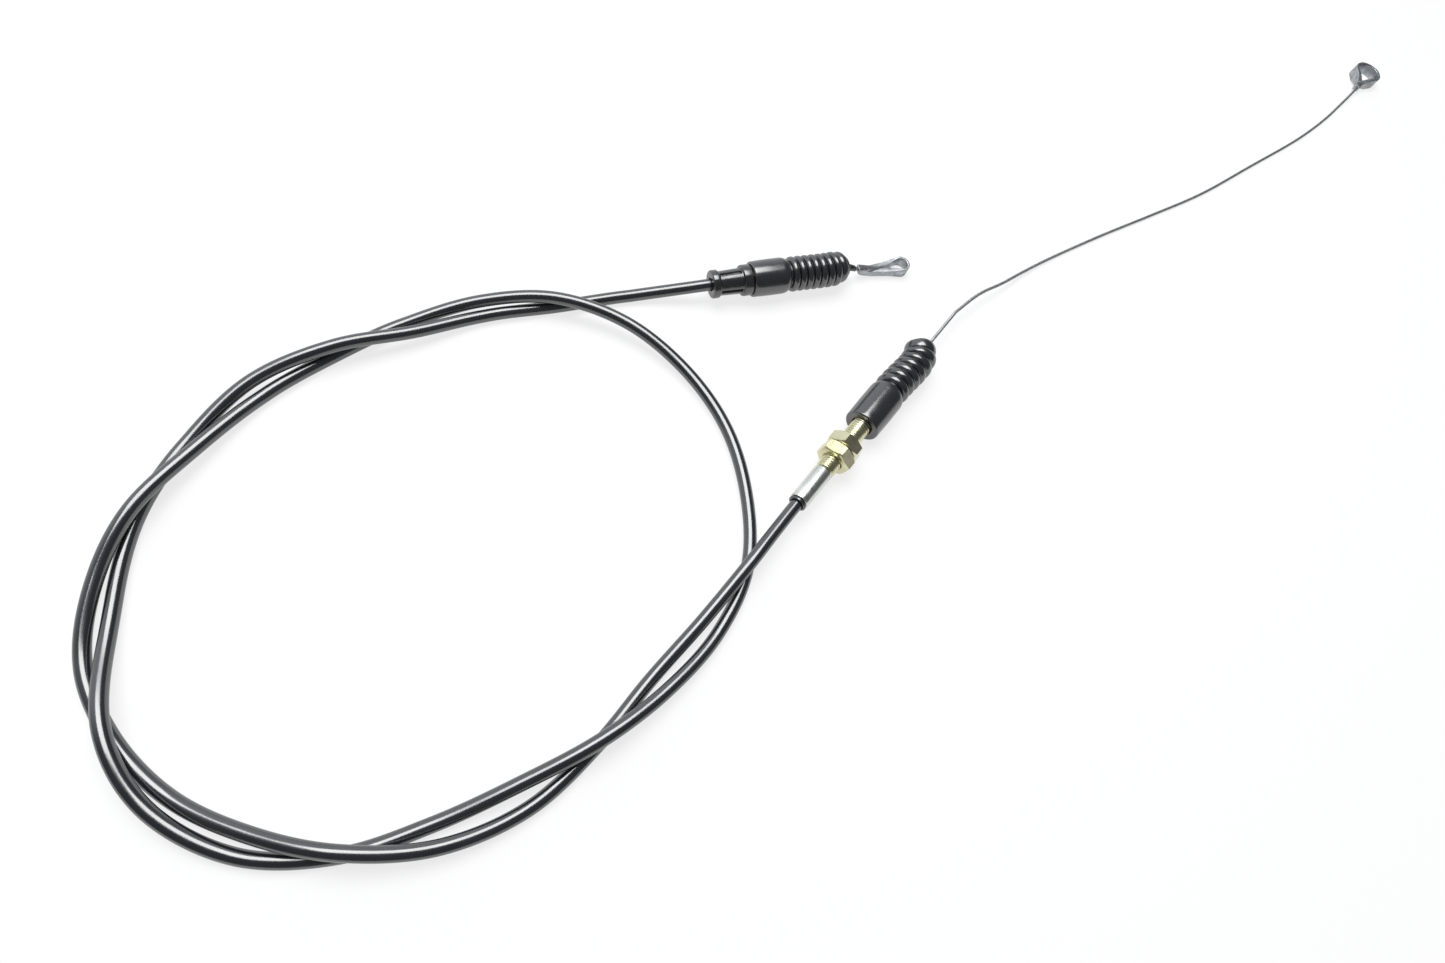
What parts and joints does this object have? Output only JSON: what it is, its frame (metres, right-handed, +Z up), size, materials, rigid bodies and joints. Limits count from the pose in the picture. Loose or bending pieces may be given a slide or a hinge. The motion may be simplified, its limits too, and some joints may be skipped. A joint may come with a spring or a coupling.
{
  "type": "control cable",
  "caption": "Sheathed push-pull control cable with bellows boots, a threaded adjuster with lock nuts and a flat teardrop eye on each end of its wire.",
  "frame": {"origin": "middle of the underside of the laid-out cable's box, on the surface that it lies on", "axes": "+X along the fitting at end A, towards its eye; +Z up from the surface; +Y across"},
  "size_m": [0.696, 0.2871, 0.0152],
  "materials": {
    "sheath_pvc": "glossy black",
    "moulded_black": "satin black",
    "boot_rubber": "satin black rubber",
    "sleeve_black": "satin black",
    "liner_white": "satin white",
    "wire_steel": "stranded steel",
    "zinc_silver": "bright zinc plating",
    "zinc_yellow": "yellow passivated zinc plating",
    "eye_zinc": "dull zinc plating"
  },
  "bodies": {
    "cable": {"outer_cable": "sheath_pvc", "end_ferrule_a": "moulded_black", "guide_liner_a": "liner_white", "bellows_boot_a": "boot_rubber", "sheath_seal_b": "moulded_black", "crimp_tube_b": "zinc_silver", "threaded_adjuster_b": "zinc_yellow", "guide_liner_b": "liner_white", "bellows_boot_b": "boot_rubber"},
    "wire_a": {"inner_wire_a": "wire_steel", "wire_sleeve_a": "sleeve_black", "loop_eye_a": "eye_zinc"},
    "wire_b": {"inner_wire_b": "wire_steel", "teardrop_eye_b": "eye_zinc"},
    "nut_1": {"lock_nut_b1": "zinc_yellow"},
    "nut_2": {"lock_nut_b2": "zinc_yellow"}
  },
  "joints": [
    {"name": "wire_b_slide", "type": "slide", "parent": "cable", "child": "wire_b", "axis": [-0.8171, -0.5764, 0], "range_m": [0, 0.025]},
    {"name": "wire_a_slide", "type": "slide", "parent": "cable", "child": "wire_a", "axis": [1, 0, 0], "range_m": [0, 0.025]},
    {"name": "nut_1_turn", "type": "hinge", "parent": "cable", "child": "nut_1", "pos_m": [-0.09221, -0.04684, 0.0077], "axis": [0.8171, 0.5764, 0], "continuous": true},
    {"name": "nut_2_turn", "type": "hinge", "parent": "cable", "child": "nut_2", "pos_m": [-0.08747, -0.0435, 0.0077], "axis": [0.8171, 0.5764, 0], "continuous": true}
  ],
  "couplings": [
    {"joint": "wire_a_slide", "follows": "wire_b_slide", "ratio": 1}
  ]
}
